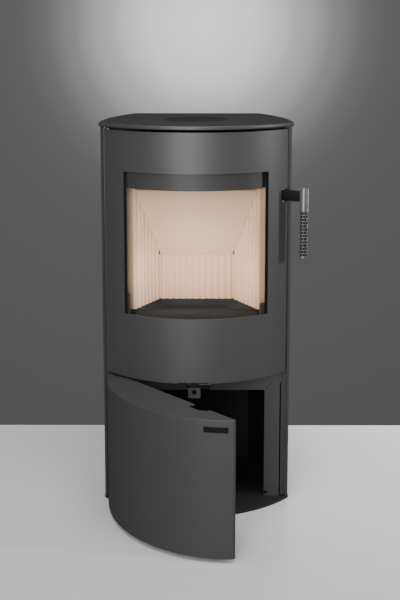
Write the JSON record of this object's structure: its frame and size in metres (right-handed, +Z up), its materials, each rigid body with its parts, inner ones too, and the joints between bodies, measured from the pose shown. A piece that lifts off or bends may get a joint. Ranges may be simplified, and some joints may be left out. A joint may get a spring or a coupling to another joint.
{
  "type": "wood burning stove",
  "caption": "Tall steel stove with a curved front: windowed fire door with a rod handle above, and a curved door to a log store standing open below.",
  "frame": {"origin": "on the floor, on the underside of the base plate, in the plane of symmetry of the casing, level with the front corners of the body", "axes": "+Z up; -Y is the curved front and +Y the flat back with the flue and air spigots; +X is the viewer's right, the handle side"},
  "size_m": [0.5295, 0.6737, 1.004],
  "materials": {
    "body_paint": "satin anthracite stove paint",
    "top_paint": "satin black-grey stove paint",
    "cover_iron": "matt dark",
    "black_steel": "matt black",
    "galvanised": "dull zinc coat",
    "lining_board": "matt mineral board",
    "baffle_board": "matt mineral board",
    "hearth_iron": "dull cast",
    "clip_bronze": "heat-browned steel",
    "zinc": "zinc plated",
    "door_glass": "clear ceramic glass",
    "rope_seal": "braided glass fibre rope",
    "glass_tape": "woven black tape",
    "handle_steel": "dark satin steel",
    "knurled_grip": "knurled dark steel"
  },
  "bodies": {
    "root": {"base_plate": "top_paint", "left_side_panel": "body_paint", "right_side_panel": "body_paint", "rear_panel": "body_paint", "top_plate": "top_paint", "top_outlet_cover": "cover_iron", "top_outlet_ring": "cover_iron", "top_heat_shield": "galvanised", "rear_heat_shield": "galvanised", "left_heat_shield": "galvanised", "right_heat_shield": "galvanised", "firebox_shell": "black_steel", "firebox_front_frame": "black_steel", "flue_flange": "black_steel", "flue_spigot": "black_steel", "air_box": "galvanised", "air_inlet_spigot": "galvanised", "slide_guides": "galvanised", "left_lining": "lining_board", "right_lining": "lining_board", "rear_lining": "lining_board", "lower_baffle": "baffle_board", "upper_baffle": "lining_board", "hearth_tray": "hearth_iron", "hearth_lip": "black_steel", "grate": "hearth_iron", "ash_pan": "galvanised", "store_front_frame": "body_paint", "left_store_wall": "black_steel", "right_store_wall": "black_steel", "rear_store_wall": "black_steel", "store_ceiling": "black_steel", "hinge_brackets": "black_steel", "latch_keepers": "zinc", "magnet_catch": "black_steel", "rear_panel_screws": "zinc", "frame_bolts": "zinc"},
    "air_control": {"air_slide": "galvanised", "air_lever": "black_steel"},
    "fire_door": {"fire_door_skin": "body_paint", "fire_door_frame": "black_steel", "fire_door_hinge_pins": "zinc", "door_glass": "door_glass", "glass_gasket": "glass_tape", "glass_retainer": "black_steel", "glass_clips": "clip_bronze", "air_deflector": "body_paint", "door_gasket": "rope_seal", "latch_bushes": "zinc"},
    "latch": {"latch_shaft": "zinc", "latch_hooks": "zinc", "handle_arm": "handle_steel", "handle_rod": "handle_steel", "handle_grip": "knurled_grip"},
    "lower_door": {"lower_door_skin": "body_paint", "lower_door_top_flange": "body_paint", "lower_door_bottom_flange": "body_paint", "lower_door_stiffener": "black_steel", "lower_door_hinge_pins": "zinc", "badge_plate": "black_steel"}
  },
  "joints": [
    {"name": "fire_door_swing", "type": "hinge", "parent": "root", "child": "fire_door", "pos_m": [-0.2225, 0.011, 0.67], "axis": [0, 0, 1], "range_deg": [-110, 0]},
    {"name": "handle_turn", "type": "hinge", "parent": "fire_door", "child": "latch", "pos_m": [0.221, 0.0125, 0.67], "axis": [0, 0, 1], "range_deg": [-30, 0]},
    {"name": "lower_door_swing", "type": "hinge", "parent": "root", "child": "lower_door", "pos_m": [-0.2225, 0.011, 0.18], "axis": [0, 0, 1], "range_deg": [-53.5, 46.5]},
    {"name": "air_control_slide", "type": "slide", "parent": "root", "child": "air_control", "axis": [1, 0, 0], "range_m": [0, 0.025]}
  ]
}
